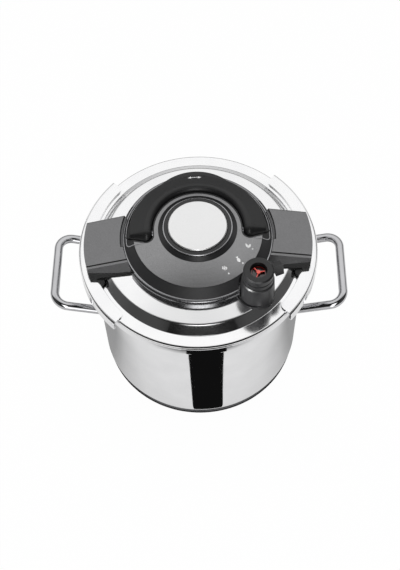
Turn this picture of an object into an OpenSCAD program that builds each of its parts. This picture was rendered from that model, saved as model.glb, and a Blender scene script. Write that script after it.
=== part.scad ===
// Stovetop pressure cooker with a clamped lid.
//
// The pot stands on z = 0 about the Z axis. The two clamp jaws slide along X.
// The opening bail folds down over +Y, so the front of the cooker faces -Y.
// Raising the bail turns two barrel cams, and their helical grooves push the
// slide plates, the jaws and the arm covers outwards off the pot's rim.

/* [Pot] */
// Outer radius of the pot's wall
pot_r = 112; // [100:0.5:125]
// Thickness of the pot's wall
pot_wall = 1; // [0.8:0.1:1.6]
// Height of the top of the pot's rim above the table
rim_z = 180; // [130:1:240]
// How far the rolled rim stands out from the wall
rim_out = 7.6; // [7:0.1:9]
// Height of the rolled rim's outer band
rim_band = 13; // [10:0.5:18]
// Outside radius where the wall turns into the floor
pot_corner = 8; // [6:0.5:12]
// Thickness of the base's heat spreading core
core_t = 6.2; // [4:0.2:9]
// Thickness of the cap under the core
cap_t = 0.8; // [0.5:0.1:1.2]
// Height of the base cap's side
cap_h = 9.2; // [7.6:0.1:10]
// How far the base cap is set in from the pot's wall
cap_inset = 1.2; // [1:0.1:2]

/* [Side handles] */
// Radius of the handle rod
rod_r = 4.7; // [3.5:0.1:6]
// Distance between the axes of a handle's two legs
leg_gap = 86; // [70:1:110]
// How far a handle stands out from the pot's wall
handle_reach = 48; // [40:1:60]
// Bend radius on the rod's axis
rod_bend = 15; // [10:0.5:20]
// Height of the legs' axes at the pot
handle_z = 124; // [90:1:140]
// Upward tilt of the handles
handle_tilt = 15; // [0:1:25]
// Turn of the handles from the line of the jaws
handle_turn = -3.1; // [-10:0.1:10]
// Thickness of the welded pads
pad_t = 2.4; // [1.5:0.1:4]
// Radius of the welded pads
pad_r = 10; // [8:0.5:14]

/* [Lid] */
// Thickness of the lid's sheet
lid_wall = 1.5; // [1:0.1:2]
// Thickness of the seal between the rim and the lid's flange
seal_t = 2.3; // [1.5:0.1:3.5]
// Height of the dome's flat top above the flange
dome_h = 9.8; // [9:0.2:16]
// How far the dome's shoulder is set in from the flange's edge
shoulder_in = 20.5; // [19:0.1:22]
// How far the dome's foot is set in from the flange's edge
foot_in = 14.4; // [12.5:0.1:15.5]
// Radius of the dome's flat top
flat_r = 78; // [74:1:84]
// Drop from the flat top to the shoulder
dome_fall = 2.2; // [1:0.1:4]

/* [Jaws] */
// Thickness of the jaws' sheet
jaw_wall = 1.8; // [1.2:0.1:2.5]
// How far a jaw reaches in over the lid's flange
jaw_cover = 10.2; // [8:0.2:12]
// Gap between the lid's flange and the inside of a jaw's wall
jaw_side = 3.8; // [2.5:0.1:6]
// Half of the angle that a jaw spans
jaw_angle = 44.7; // [38:0.1:50]
// Half of the angle that a jaw's hook spans
hook_angle = 26; // [15:0.5:32]
// How far the hook reaches in under the rim
hook_grip = 5.8; // [4:0.1:6.2]
// Height of a jaw's wall beside the hook
jaw_h = 14.3; // [10:0.1:17]
// Travel of a jaw
jaw_travel = 8; // [7.5:0.1:9]

/* [Arms] */
// Width of an arm cover's top
arm_w = 54; // [50:1:56]
// Width of an arm cover at its foot
arm_foot = 70; // [68:1:74]
// Height of the arm's top above the dome, at the inner end
arm_top_in = 12.4; // [12:0.1:13.4]
// Drop of the arm's top from the inner end to the outer end
arm_fall = 10.2; // [9:0.1:10.6]
// Height of the arm covers' sides
arm_side = 8.6; // [8:0.1:9.5]
// Place of the ridge along the arm's top
arm_ridge = -10; // [-16:1:0]
// Wall of the arm covers
arm_wall = 1.6; // [1.2:0.1:2]
// Width of the slide plates inside the housing
plate_w = 40; // [34:0.5:42]
// Width of the slide plates under the arms
neck_w = 24; // [20:0.5:24]
// Thickness of the slide plates
plate_t = 1.8; // [1.5:0.1:2]

/* [Housing] */
// Radius of the housing's skirt at its foot
skirt_r = 80.4; // [79:0.1:83]
// Height of the skirt
skirt_h = 10.6; // [10:0.1:11.4]
// Radius of the round at the skirt's top
skirt_round = 4; // [3:0.1:5]
// Width of the chamfer from the skirt's foot to the top cover
chamfer_w = 14; // [13:0.2:15]
// Height of the top cover's edge above the dome
cover_edge = 17.6; // [17:0.1:18.6]
// Height of the top cover's middle above the dome
cover_mid = 24; // [23.4:0.1:24.8]
// How far the top cover's slope is crowned
cover_crown = 0.4; // [0:0.1:0.8]
// Thickness of the top cover
cover_t = 1.5; // [1.2:0.1:1.6]
// Width of the ring of cover that shows between the bail and the collar
cover_ring = 5.4; // [5:0.1:6.4]
// Width of the collar round the badge
collar_w = 10.3; // [9:0.1:12]

/* [Bail] */
// Distance from the skirt's foot in to the bail
bail_edge = 9.8; // [9.2:0.1:10.6]
// Width of the bail
bail_w = 23.8; // [22:0.1:24.4]
// Height of the bail's axis above the dome
axis_h = 16.6; // [16.4:0.1:17.4]
// Radius of the bail's rounded ends at their thickest
barrel_r = 11; // [10.2:0.1:11.2]
// Fall of the bail's top towards its outer side, in degrees
bail_fall = 22; // [14:1:24]
// Radius of the grip tab's outline
tab_r = 50; // [44:1:56]
// How far the grip tab stands out from the bail
tab_out = 6; // [4:0.1:6.4]
// Angle of the raised bail
bail_swing = 90; // [60:5:90]
// Radius of the cam drums
drum_r = 5.2; // [4.8:0.1:5.4]
// Radius of the follower pins
pin_r = 1.5; // [1.2:0.1:1.7]

/* [Pressure valve] */
// Distance of the valve's axis from the dome's shoulder
valve_in = 13.7; // [12.5:0.1:15]
// Direction of the valve from the lid's axis
valve_dir = -48.8; // [-52:0.1:-46]
// Radius of the valve's base at its foot
valve_r = 18; // [16.5:0.1:18.4]
// Height of the valve's base above the dome
valve_h = 27; // [25:0.1:28]
// Radius of the knob
knob_r = 15.4; // [14:0.1:16]
// Height of the knob
knob_h = 15; // [13:0.1:18]
// Radius of the knob's open well
well_r = 8.6; // [8.2:0.1:10]
// Radius of the pressure indicator
indicator_r = 7.4; // [6:0.1:7.8]
// Direction of the knob's lever
lever_dir = 20.4; // [10:0.1:30]
// Reach of the knob's lever from the valve's axis
lever_reach = 28; // [24:0.5:30]

/* [Clearances] */
// Gap between a jaw and what it slides over
slide_gap = 0.2; // [0.1:0.05:0.25]
// Gap between the hook and the rim
hook_gap = 0.3; // [0.2:0.05:0.5]
// Running clearance round a shaft
run_gap = 0.05; // [0.02:0.01:0.09]
// Gap between moulded pieces
mould_gap = 0.3; // [0.2:0.05:0.4]

/* [Hidden] */
$fn = 96;

// Heights that the pieces share
rim_r = pot_r + rim_out;
rim_foot = rim_z - rim_band;
floor_z = cap_t + core_t;
flange_z = rim_z + seal_t + lid_wall;
dome_z = flange_z + dome_h;
jaw_z = flange_z + slide_gap + jaw_wall;
axis_z = dome_z + axis_h;

// Radii that the pieces share
cap_r = pot_r - cap_inset;
flange_r = rim_r + 0.4;
shoulder_r = flange_r - shoulder_in;
foot_r = flange_r - foot_in;
jaw_in = flange_r - jaw_cover;
jaw_out = flange_r + jaw_side + jaw_wall;
hook_in = rim_r - hook_grip;

// Housing, bail and room for the mechanism, from the skirt inwards
cover_r = skirt_r - chamfer_w;
bail_out = skirt_r - bail_edge;
bail_in = bail_out - bail_w;
recess_in = bail_in - 0.8;
recess_out = bail_out + 3;
collar_r = recess_in - cover_ring;
badge_r = collar_r - collar_w;
room_r = bail_in - 3.8;

// Slide plates and their frame
frame_t = 1.7;
plate_z = dome_z + frame_t + slide_gap;
plate_top = plate_z + plate_t;
plate_in = room_r - 21;
bend_in = foot_r - 1.4;
bend_out = jaw_in - 0.2;
plate_low = dome_z - dome_fall;
plate_end = flange_r - 1.5;
rivet_x = jaw_in + 4.2;
rivet_y = 7;
rivet_r = 2.5;
channel_w = plate_w + 2 * mould_gap;

// Cam shafts, from the inboard stub to the shank in the bail
stub_r = 3.2;
journal_r = 4.5;
shank_w = 6.2;
ear_in = room_r - 25;
ear_t = 3;
drum_in = room_r - 18.5;
drum_out = room_r - 4.2;
pin_x = room_r - 15.8;
groove_d = 2;
groove_steps = 12;
shank_out = bail_in + 15;

// Depths of the bail's recess, and the notches that the arms reach into
recess_floor = 11;
bail_floor = recess_floor + 2;
pocket_r = barrel_r + 0.6;
bead_w = 1.1;
notch_r = skirt_r - 2.9;
notch_w = arm_foot + 12;
bend_flat = notch_r + 0.5;
well_gap = 1.2;

// Valve and safety valve
valve_at = shoulder_r - valve_in;
valve_x = valve_at * cos(valve_dir);
valve_y = valve_at * sin(valve_dir);
valve_top = dome_z + valve_h;
knob_z = valve_top + mould_gap;
knob_top = knob_z + knob_h;
well_z = knob_top - 7.4;
stem_r = 4.5;
stem_bore = 1.5;
safety_at = (room_r + notch_r) / 2;
safety_dir = -94;
safety_x = safety_at * cos(safety_dir);
safety_y = safety_at * sin(safety_dir);
seat_h = 1.5;
chamber_h = 5;
plunger_r = 1.3;
plunger_t = 1.2;

// Small fasteners
bolt_r = 4;
screw_r = 1.5;
screw_at = room_r + 10;
screw_dirs = [-62, -128, 52, 128];

// ---------- helpers ----------

// Points of an arc about c, from angle a0 to angle a1
function arc(c, r, a0, a1, n = 6) =
    [for (i = [0 : n]) let (a = a0 + (a1 - a0) * i / n) c + r * [cos(a), sin(a)]];

function unit(v) = v / norm(v);
function left_of(p, q) = let (d = unit(q - p)) [-d[1], d[0]];

// The point that lies t to the left of a path at its point i
function beside(path, i, t) =
    let (last = len(path) - 1,
         a = left_of(path[max(i - 1, 0)], path[max(i, 1)]),
         b = left_of(path[min(i, last - 1)], path[min(i + 1, last)]),
         m = unit(a + b))
    path[i] + m * t / (m * a);

// Outline of a sheet of thickness t that lies to the left of a path
function sheet(path, t) =
    concat(path, [for (i = [len(path) - 1 : -1 : 0]) beside(path, i, t)]);

module revolve(points, angle = 360) {
    rotate_extrude(angle = angle, $fn = 180) polygon(points);
}

// A part of a revolved outline, between plus and minus half of an angle
module sector(points, half) {
    rotate([0, 0, -half]) revolve(points, 2 * half);
}

// A cylinder along X
module rod_x(r, x0, x1) {
    translate([x0, 0, 0]) rotate([0, 90, 0]) cylinder(r = r, h = x1 - x0);
}

// A box from x0 to x1, centred on Y, from z0 to z1
module bar(x0, x1, w, z0, z1) {
    translate([x0, -w / 2, z0]) cube([x1 - x0, w, z1 - z0]);
}

module tube(r_out, r_in, h) {
    difference() {
        cylinder(r = r_out, h = h);
        translate([0, 0, -1]) cylinder(r = r_in, h = h + 2);
    }
}

module hex(across, h) {
    cylinder(r = across / sqrt(3), h = h, $fn = 6);
}

// Places its children on the valve's axis
module at_valve() {
    translate([valve_x, valve_y, 0]) children();
}

// Mirrors its children to the left side
module left() {
    mirror([1, 0, 0]) children();
}

// ---------- pot ----------

// The outer side of the pot's wall, from the floor's middle to the rim's hem
function pot_path() =
    let (flare = 3, roll = 1.5, top = rim_z - pot_wall, band = rim_r - pot_wall)
    concat([[0, floor_z]],
           arc([pot_r - pot_corner, floor_z + pot_corner], pot_corner, -90, 0),
           arc([pot_r + flare, top - flare], flare, 180, 90),
           arc([band - roll, top - roll], roll, 90, 0),
           arc([band - roll, rim_foot + pot_wall + roll], roll, 0, -90),
           [[pot_r + 1.3, rim_foot + pot_wall]]);

module pot_shell() {
    color("gainsboro") revolve(sheet(pot_path(), pot_wall));
}

// The core follows the pot's corner a hair's breadth below it
module base_core() {
    core_r = cap_r - cap_t;
    under = pot_corner + 0.15;
    centre = [pot_r - pot_corner, floor_z + pot_corner];
    side = acos((core_r - centre[0]) / under);
    color("silver") revolve(concat(
        [[0, cap_t], [core_r - 2.6, cap_t], [core_r, cap_t + 2.6]],
        arc(centre, under, -side, -89),
        [[centre[0] - 1, floor_z], [0, floor_z]]));
}

module base_cap() {
    edge = 3;
    color("gainsboro") revolve(sheet(concat(
        [[0, 0]],
        arc([cap_r - edge, edge], edge, -90, 0),
        [[cap_r, cap_h]]), cap_t));
}

// ---------- side handles ----------

leg_x = sqrt(pow(pot_r, 2) - pow(leg_gap / 2, 2));
bar_u = (pot_r + handle_reach - rod_r - leg_x) / cos(handle_tilt);

// Puts its children in the plane of the right handle
module in_handle_plane() {
    rotate([0, 0, handle_turn]) translate([leg_x, 0, handle_z])
        rotate([0, -handle_tilt, 0]) children();
}

module pot_bore(extra) {
    cylinder(r = pot_r + extra, h = rim_foot);
}

module side_handle() {
    color("gainsboro") difference() {
        in_handle_plane() {
            for (s = [-1, 1]) scale([1, s, 1]) {
                translate([0, leg_gap / 2, 0]) rod_x(rod_r, -8, bar_u - rod_bend);
                translate([bar_u - rod_bend, leg_gap / 2 - rod_bend, 0])
                    rotate_extrude(angle = 90) translate([rod_bend, 0]) circle(rod_r);
            }
            translate([bar_u, rod_bend - leg_gap / 2, 0]) rotate([-90, 0, 0])
                cylinder(r = rod_r, h = leg_gap - 2 * rod_bend);
        }
        pot_bore(pad_t);
    }
}

module handle_right() {
    side_handle();
}

module handle_left() {
    rotate([0, 0, 180]) side_handle();
}

// Four round pads, curved to the wall, which the legs are welded to
module handle_pads() {
    color("silver") for (turn = [0, 180], s = [-1, 1])
        rotate([0, 0, turn]) difference() {
            intersection() {
                in_handle_plane() translate([0, s * leg_gap / 2, 0]) rod_x(pad_r, -14, 14);
                pot_bore(pad_t);
            }
            pot_bore(0);
        }
}

// ---------- lid ----------

// The lid's upper surface, from its middle to the flange's lower edge
function lid_path() =
    let (turn = 6, fillet = 1.5, edge = 2.2, wall = 48,
         turn_z = dome_z - dome_fall - turn)
    concat([[0, dome_z], [flat_r, dome_z]],
           arc([shoulder_r - turn + 1.5, turn_z], turn, 84, wall, 5),
           arc([foot_r + fillet, flange_z + fillet], fillet, 180 + wall, 270),
           arc([flange_r - edge, flange_z - edge], edge, 90, 0),
           [[flange_r, flange_z - edge - 1.2]]);

// Everything below the lid's upper surface, raised by a gap
module below_lid(gap) {
    translate([0, 0, gap]) revolve(concat(lid_path(), [[flange_r, 100], [0, 100]]));
}

module lid_shell() {
    color("gainsboro") difference() {
        revolve(sheet(lid_path(), -lid_wall));
        translate([0, 0, dome_z - 10]) {
            cylinder(r = bolt_r + run_gap, h = 20);
            at_valve() cylinder(r = stem_r + run_gap, h = 20);
            translate([safety_x, safety_y, 0]) cylinder(r = stem_r + run_gap, h = 20);
        }
    }
}

// Flat on the rim's crown, with a lip that hangs inside the pot
module seal_ring() {
    inner = pot_r - pot_wall;
    color("dimgray") revolve([
        [foot_r + 1.6, flange_z - lid_wall], [rim_r - 2.6, flange_z - lid_wall],
        [rim_r - 2.6, rim_z], [inner - 0.4, rim_z], [inner - 0.3, rim_z - 6],
        [inner - 2, rim_z - 6], [foot_r + 1.6, rim_z - 2]]);
}

module centre_bolt() {
    color("silver") {
        translate([0, 0, dome_z + frame_t]) hex(13, 5.3);
        translate([0, 0, dome_z - lid_wall - 9]) cylinder(r = bolt_r, h = lid_wall + 9 + frame_t);
    }
}

module centre_seal() {
    color("dimgray") translate([0, 0, dome_z - lid_wall - 1]) tube(9, bolt_r, 1);
}

module centre_nut() {
    color("silver") translate([0, 0, dome_z - lid_wall - 7.5]) difference() {
        union() {
            hex(13, 6.5);
            translate([0, 0, 5]) cylinder(r = 9, h = 1.5);
        }
        translate([0, 0, -1]) cylinder(r = bolt_r, h = 9);
    }
}

// ---------- mechanism ----------

// A steel frame under the housing: bearing ears for the cam shafts, and
// rails that keep the slide plates down
module guide_frame() {
    rail_in = plate_w / 2 + slide_gap;
    rail_top = plate_top + slide_gap;
    color("silver") difference() {
        union() {
            translate([0, 0, dome_z]) {
                cylinder(r = room_r - 0.5, h = frame_t);
                for (a = screw_dirs) rotate([0, 0, a]) {
                    translate([0, -6, 0]) cube([screw_at, 12, frame_t]);
                    translate([screw_at, 0, 0]) cylinder(r = 6, h = frame_t);
                }
            }
            for (s = [-1, 1]) {
                translate([s * (ear_in + ear_t / 2), 0, 0]) {
                    bar(-ear_t / 2, ear_t / 2, 11, dome_z, axis_z);
                    translate([0, 0, axis_z]) rod_x(5.5, -ear_t / 2, ear_t / 2);
                }
                for (t = [-1, 1]) scale([s, t, 1]) translate([plate_in + 2, 0, 0]) {
                    translate([0, rail_in, dome_z]) cube([11, 1.8, rail_top + 1.5 - dome_z]);
                    translate([0, rail_in - 4, rail_top]) cube([11, 5.8, 1.5]);
                }
            }
        }
        translate([0, 0, dome_z - 1]) cylinder(r = bolt_r + run_gap, h = 9);
        translate([0, 0, axis_z]) rod_x(stub_r + run_gap, -30, 30);
        for (a = screw_dirs) rotate([0, 0, a]) translate([screw_at, 0, dome_z])
            screw_form(0);
    }
}

// A countersunk screw from below, with its head flush with the frame
module screw_form(extra) {
    cylinder(r1 = screw_r + 1.4, r2 = screw_r, h = 1.4);
    cylinder(r = screw_r, h = 6.5 + extra);
}

module housing_screws() {
    color("silver") for (a = screw_dirs) rotate([0, 0, a])
        translate([screw_at, 0, dome_z]) screw_form(0);
}

// Axial place of a groove when the bail stands at an angle
function groove_x(angle) = pin_x + jaw_travel * angle / bail_swing;

// A turned shaft with a barrel cam. Its groove advances along X while the
// bail turns, so the pin that stands in it below the axis moves outwards.
module cam_shaft() {
    step = bail_swing / groove_steps;
    color("silver") translate([0, 0, axis_z]) difference() {
        union() {
            rod_x(stub_r, ear_in - 0.5, drum_in);
            rod_x(drum_r, drum_in, drum_out);
            rod_x(journal_r, drum_out, bail_in - mould_gap);
            bar(bail_in - mould_gap, shank_out, shank_w, -shank_w / 2, shank_w / 2);
        }
        for (i = [-1 : groove_steps + 1]) rotate([-i * step, 0, 0])
            translate([groove_x(i * step), 0, -drum_r - 1])
                cylinder(r = pin_r + 0.25, h = groove_d + 1, $fn = 48);
    }
}

module cam_shaft_right() {
    cam_shaft();
}

module cam_shaft_left() {
    left() cam_shaft();
}

// The plate's form, from its inboard end to its foot on the jaw, grown by a gap
module plate_form(gap) {
    w = plate_w / 2 + gap;
    neck = neck_w / 2 + gap;
    intersection() {
        translate([0, w, 0]) rotate([90, 0, 0]) linear_extrude(2 * w)
            polygon(sheet([[plate_in, plate_z - gap], [bend_flat, plate_z - gap],
                           [bend_in, plate_low - gap], [bend_out - gap, jaw_z - gap],
                           [plate_end + gap, jaw_z - gap]], plate_t + 2 * gap));
        translate([0, 0, jaw_z - 9]) linear_extrude(60)
            polygon([[0, -w], [bend_flat - 3, -w], [bend_flat + 2, -neck], [flange_r, -neck],
                     [flange_r, neck], [bend_flat + 2, neck], [bend_flat - 3, w], [0, w]]);
    }
}

// A joggled steel plate: it runs out over the dome, drops behind the dome's
// foot and is riveted to the jaw
module slide_plate() {
    color("silver") difference() {
        union() {
            plate_form(0);
            translate([pin_x, 0, plate_top - 1])
                cylinder(r = pin_r, h = axis_z - drum_r + groove_d - 0.3 - plate_top + 1, $fn = 48);
        }
        for (s = [-1, 1]) translate([rivet_x, s * rivet_y, jaw_z - 1])
            cylinder(r = rivet_r, h = plate_t + 2);
    }
}

module slide_plate_right() {
    slide_plate();
}

module slide_plate_left() {
    left() slide_plate();
}

// ---------- jaws ----------

// A pressed claw: a flange over the lid, a wall outside the rim, and a
// narrower hook that turns in under the rim
module jaw() {
    turn = 3.6;
    hem = 2.5;
    side = jaw_angle - hook_angle;
    wall_foot = jaw_z - jaw_h;
    hook_foot = rim_foot - hook_gap - jaw_wall;
    corner = 6;
    nose = 1;
    path = concat([[jaw_in, jaw_z]],
        arc([jaw_out - turn, jaw_z - turn], turn, 90, 0),
        arc([jaw_out - hem, hook_foot + hem], hem, 0, -90),
        [[hook_in, hook_foot]]);
    last = len(path) - 1;
    color("gainsboro") difference() {
        sector(concat(arc([jaw_in + nose, jaw_z - nose], nose, 180, 90, 4),
            [for (i = [1 : last]) path[i]],
            [for (i = [last : -1 : 0]) beside(path, i, -jaw_wall)]), jaw_angle);
        for (s = [-1, 1]) {
            rotate([0, 0, s * (hook_angle + side)]) sector([
                [hook_in - 1, hook_foot - 1], [jaw_out + 1, hook_foot - 1],
                [jaw_out + 1, wall_foot], [hook_in - 1, wall_foot]], side);
            scale([1, s, 1]) rotate([0, 0, jaw_angle]) translate([jaw_in, 0, jaw_z - 4])
                inner_corner(corner);
            scale([1, s, 1]) rotate([0, 0, jaw_angle]) translate([jaw_out + 1, 0, wall_foot])
                rotate([0, -90, 0]) inner_corner(4);
            translate([rivet_x, s * rivet_y, jaw_z - 4]) cylinder(r = rivet_r, h = 6);
        }
    }
}

// What is cut away to round a corner at the origin, between +X and -Y
module inner_corner(r) {
    difference() {
        translate([-1, -r, 0]) cube([r + 1, r + 1, 6]);
        translate([r, -r, -1]) cylinder(r = r, h = 8);
    }
}

module jaw_right() {
    jaw();
}

module jaw_left() {
    left() jaw();
}

module jaw_rivets() {
    color("silver") for (s = [-1, 1]) translate([rivet_x, s * rivet_y, 0]) {
        translate([0, 0, jaw_z - jaw_wall]) cylinder(r = rivet_r, h = jaw_wall + plate_t);
        translate([0, 0, jaw_z + plate_t]) cylinder(r1 = 3.1, r2 = 2.4, h = 1.2);
    }
}

module jaw_rivets_right() {
    jaw_rivets();
}

module jaw_rivets_left() {
    left() jaw_rivets();
}

// ---------- arms ----------

arm_r0 = notch_r + 0.6;
arm_r1 = flange_r - 1;
arm_tilt = atan(arm_fall / (arm_r1 - arm_r0));
shoe_front = arm_foot / 2 + 1.8;
shoe_rear = arm_w / 2 + 4;
facet_in = dome_z + 2.9;
facet_out = jaw_z + 5.7;
foot_top = jaw_z + 2.6;

// Cross-section of an arm about its ridge line, inset by a wall
function arm_profile(inset) =
    let (w = arm_w / 2, foot = arm_foot / 2 - 1.5 * inset, lean = 1.2 * inset,
         rear = shoe_rear + 0.8 - 1.2 * inset)
    [[rear, -30], [rear, -arm_side], [w + 1.6 - lean, -0.8 - inset], [w - lean, -inset],
     [arm_ridge, -inset], [1.5 - w + lean, -1.6 - inset], [lean - w - 1.6, -1.8 - inset],
     [-foot, -arm_side], [-foot, -30]];

// Places its children at an arm's inner end, falling outwards
module on_arm() {
    translate([arm_r0, 0, dome_z + arm_top_in]) rotate([0, arm_tilt, 0]) children();
}

// The arm's outer form, or its inner form with an inset, between two radii
module arm_form(inset, r0, r1) {
    intersection() {
        on_arm() translate([-24, 0, 0]) rotate([90, 0, 90])
            linear_extrude(90) polygon(arm_profile(inset));
        translate([0, 0, jaw_z]) tube(r1, r0, 60);
        bar(0, arm_r1 + 9, 120, jaw_z, dome_z + 40);
    }
}

// The shoe's upper surface, over the dome, down its wall and over the jaw
function shoe_path() =
    let (over = 1.7, edge_z = dome_z - dome_fall + over)
    [[arm_r0 + 0.5, dome_z + over], [shoulder_r - 2, edge_z], [foot_r - 1.5, edge_z - 3.4],
     [foot_r + 1.6, foot_top], [arm_r1 - 0.3, foot_top]];

// Everything below the shoe's upper surface
module below_shoe() {
    revolve(concat([[0, 100], [0, dome_z + 1.7]], shoe_path(),
                   [[arm_r1 + 9, foot_top], [arm_r1 + 9, 100]]));
}

// Everything below the front facet's lower edge, which falls outwards less
// than the arm's top does
module below_facet() {
    fall = atan((facet_in - facet_out) / (arm_r1 - arm_r0));
    translate([arm_r0, 0, facet_in]) rotate([0, fall, 0])
        translate([-24, -60, -30]) cube([90, 36, 30]);
}

// The painted cover: a tapered shell with a ridge, a groove along the front
// edge, and a rear half that stops short of the housing
module arm_cover() {
    rear_gap = 2.6;
    color("slategray") difference() {
        arm_form(0, arm_r0, arm_r1);
        arm_form(arm_wall, arm_r0 - 9, arm_r1 - arm_wall);
        below_shoe();
        below_facet();
        intersection() {
            translate([0, arm_ridge, dome_z]) cube([arm_r1, arm_w, 40]);
            translate([0, 0, dome_z]) cylinder(r = arm_r0 + rear_gap, h = 40);
        }
        on_arm() translate([-24, 0.9 - arm_w / 2, -3]) cube([90, 1.6, 9]);
    }
}

// The black moulded shoe under an arm: a plate over the dome, a foot and a
// tongue on the jaw, and ribs that carry the cover
module arm_base() {
    color("black") difference() {
        union() {
            intersection() {
                revolve(concat([[arm_r0 + 0.5, dome_z - 1]], shoe_path(),
                               [[arm_r1 - 0.3, jaw_z], [foot_r, jaw_z]]));
                translate([0, -shoe_front, jaw_z])
                    cube([arm_r1, shoe_front + shoe_rear, dome_h]);
            }
            intersection() {
                translate([arm_r0, 0, facet_in])
                    rotate([0, atan((facet_in - facet_out) / (arm_r1 - arm_r0)), 0])
                    translate([-24, 0, 0]) rotate([90, 0, 90]) linear_extrude(90)
                        polygon([[5 - shoe_front, -14], [5 - shoe_front, 0],
                                 [3.4 - shoe_front, 0], [0.1 - shoe_front, -3.1],
                                 [0.1 - shoe_front, -14]]);
                translate([0, 0, jaw_z]) tube(arm_r1 - 0.4, arm_r0 + 0.8, 60);
            }
            translate([0, 0, jaw_z]) linear_extrude(foot_top - jaw_z)
                polygon([[bend_out - 1, 3 - shoe_front], [foot_r - 5.6, -shoe_front - 7.6],
                         [foot_r - 8, -shoe_front - 3.7], [foot_r - 5, 3 - shoe_front]]);
            intersection() {
                arm_form(arm_wall + 0.1, arm_r0 + 5, arm_r1 - arm_wall - 0.1);
                translate([0, 0, jaw_z]) {
                    tube(arm_r0 + 8, arm_r0 + 5, 60);
                    tube(bend_out + 2.4, bend_out - 0.6, 60);
                    tube(arm_r1 - arm_wall, arm_r1 - arm_wall - 2.4, 60);
                }
            }
        }
        plate_form(mould_gap);
        bar(bend_in, plate_end + mould_gap, neck_w + 2 * mould_gap, jaw_z - 1,
            jaw_z + plate_t + 1.4);
        below_lid(0.2);
    }
}

module arm_cover_right() {
    arm_cover();
}

module arm_cover_left() {
    left() arm_cover();
}

module arm_base_right() {
    arm_base();
}

module arm_base_left() {
    left() arm_base();
}

// ---------- housing ----------

trim_out = collar_r - 4.7;
trim_in = trim_out - 1.3;
lip_r = skirt_r - skirt_round;
skirt_top = dome_z + skirt_h;
skirt_t = 1.2;

// Height of the top cover's surface at a radius: a cone with a slight crown
function cover_z(r) =
    let (u = (r - collar_r) / (cover_r - collar_r))
    dome_z + cover_mid - (cover_mid - cover_edge) * u + 4 * cover_crown * u * (1 - u);

// Where the arms reach into the housing's round form
module arm_notches() {
    translate([0, 0, dome_z - 1]) intersection() {
        tube(skirt_r + 9, notch_r, 40);
        translate([-skirt_r - 9, -notch_w / 2, 0]) cube([2 * skirt_r + 18, notch_w, 40]);
    }
}

// Outline of a rounded end in the plane of the hinge's axis, from its outer
// side over its sloping top to its inner side
function end_path(x0, x1, r, c0, c1) =
    let (a = 90 - bail_fall, run = x1 - c1 - x0 - c0,
         z1 = r - c0 + (c0 - c1 - run * cos(a)) / sin(a))
    concat(arc([x1 - c1, z1], c1, 0, a, 4), arc([x0 + c0, r - c0], c0, a, 180, 7));

// Turns an outline about the hinge's axis
module turned(x0, x1, path) {
    translate([0, 0, axis_z]) rotate([0, 90, 0])
        revolve(concat([[0, x1]], [for (p = path) [p[1], p[0]]], [[0, x0]]));
}

// The recess that the folded bail lies in, open at the top, grown by a width
module bail_recess(extra = 0) {
    x0 = recess_in - extra;
    x1 = recess_out + extra;
    path = end_path(x0, x1, pocket_r + extra, 6.3 + extra, 3 + extra);
    difference() {
        translate([0, 0, dome_z + recess_floor]) tube(x1, x0, 40);
        translate([-100, -200, 0]) cube([200, 200, 300]);
    }
    for (s = [-1, 1]) scale([s, 1, 1]) {
        turned(x0, x1, path);
        translate([0, 0, axis_z]) linear_extrude(40)
            polygon(concat([[x1, 1]], [for (p = path) [p[0], -p[1]]], [[x0, 1]]));
    }
}

module valve_recess(extra = 0) {
    at_valve() translate([0, 0, dome_z - 5])
        cylinder(r = valve_r + well_gap + extra, h = 60);
}

// A hollow under a part of the housing's top, between two radii
module hollow(r0, r1, h, front) {
    intersection() {
        translate([0, 0, dome_z - 1]) tube(r1, r0, h + 1);
        translate([-100, front ? -100 - plate_w / 2 - 2.5 : plate_w / 2 + 2.5, 0])
            cube([200, 100, 300]);
    }
}

// The black moulding that carries the covers, the bail and the mechanism
module housing_shell() {
    wall = 2.4;
    color("black") difference() {
        union() {
            difference() {
                revolve(concat([[room_r, dome_z], [skirt_r - skirt_t - 0.1, dome_z]],
                    arc([lip_r, skirt_top - skirt_round], skirt_round - skirt_t - 0.1, 0, 90),
                    [[lip_r - 0.15, skirt_top - skirt_t - 0.1], [lip_r - 0.15, skirt_top + 0.2],
                     [cover_r + 0.4, dome_z + cover_edge + 0.1],
                     [cover_r + 0.4, cover_z(cover_r + 0.4) - cover_t - 0.1],
                     [room_r, cover_z(room_r) - cover_t - 0.3]]));
                hollow(room_r + wall, notch_r - wall, skirt_h - 1.2, true);
                hollow(room_r + wall, notch_r - wall, recess_floor - wall, false);
            }
            intersection() {
                bail_recess(bead_w);
                revolve([[room_r, plate_top], [lip_r - 0.4, plate_top],
                         [lip_r - 0.4, skirt_top + 0.9], [cover_r, cover_z(cover_r) + 0.6],
                         [room_r, cover_z(room_r) + 0.6]]);
            }
            intersection() {
                valve_recess(1.8);
                translate([0, 0, dome_z]) cylinder(r = notch_r - 1, h = skirt_h);
            }
            for (a = screw_dirs) rotate([0, 0, a])
                translate([screw_at, 0, dome_z + frame_t]) cylinder(r = 4, h = skirt_h - 2);
        }
        bail_recess();
        valve_recess();
        arm_notches();
        for (s = [-1, 1]) scale([s, 1, 1]) {
            bar(room_r - 9, 100, channel_w, dome_z - 1, plate_top + mould_gap);
            translate([0, 0, axis_z]) rod_x(journal_r + run_gap, room_r - 3, recess_in + 1);
        }
        for (a = screw_dirs) rotate([0, 0, a]) {
            translate([room_r - 5, -6.3, dome_z - 1])
                cube([screw_at - room_r + 5, 12.6, frame_t + 1]);
            translate([screw_at, 0, dome_z - 1]) cylinder(r = 6.3, h = frame_t + 1);
            translate([screw_at, 0, dome_z]) screw_form(0.5);
        }
        below_lid(0);
    }
}

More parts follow.
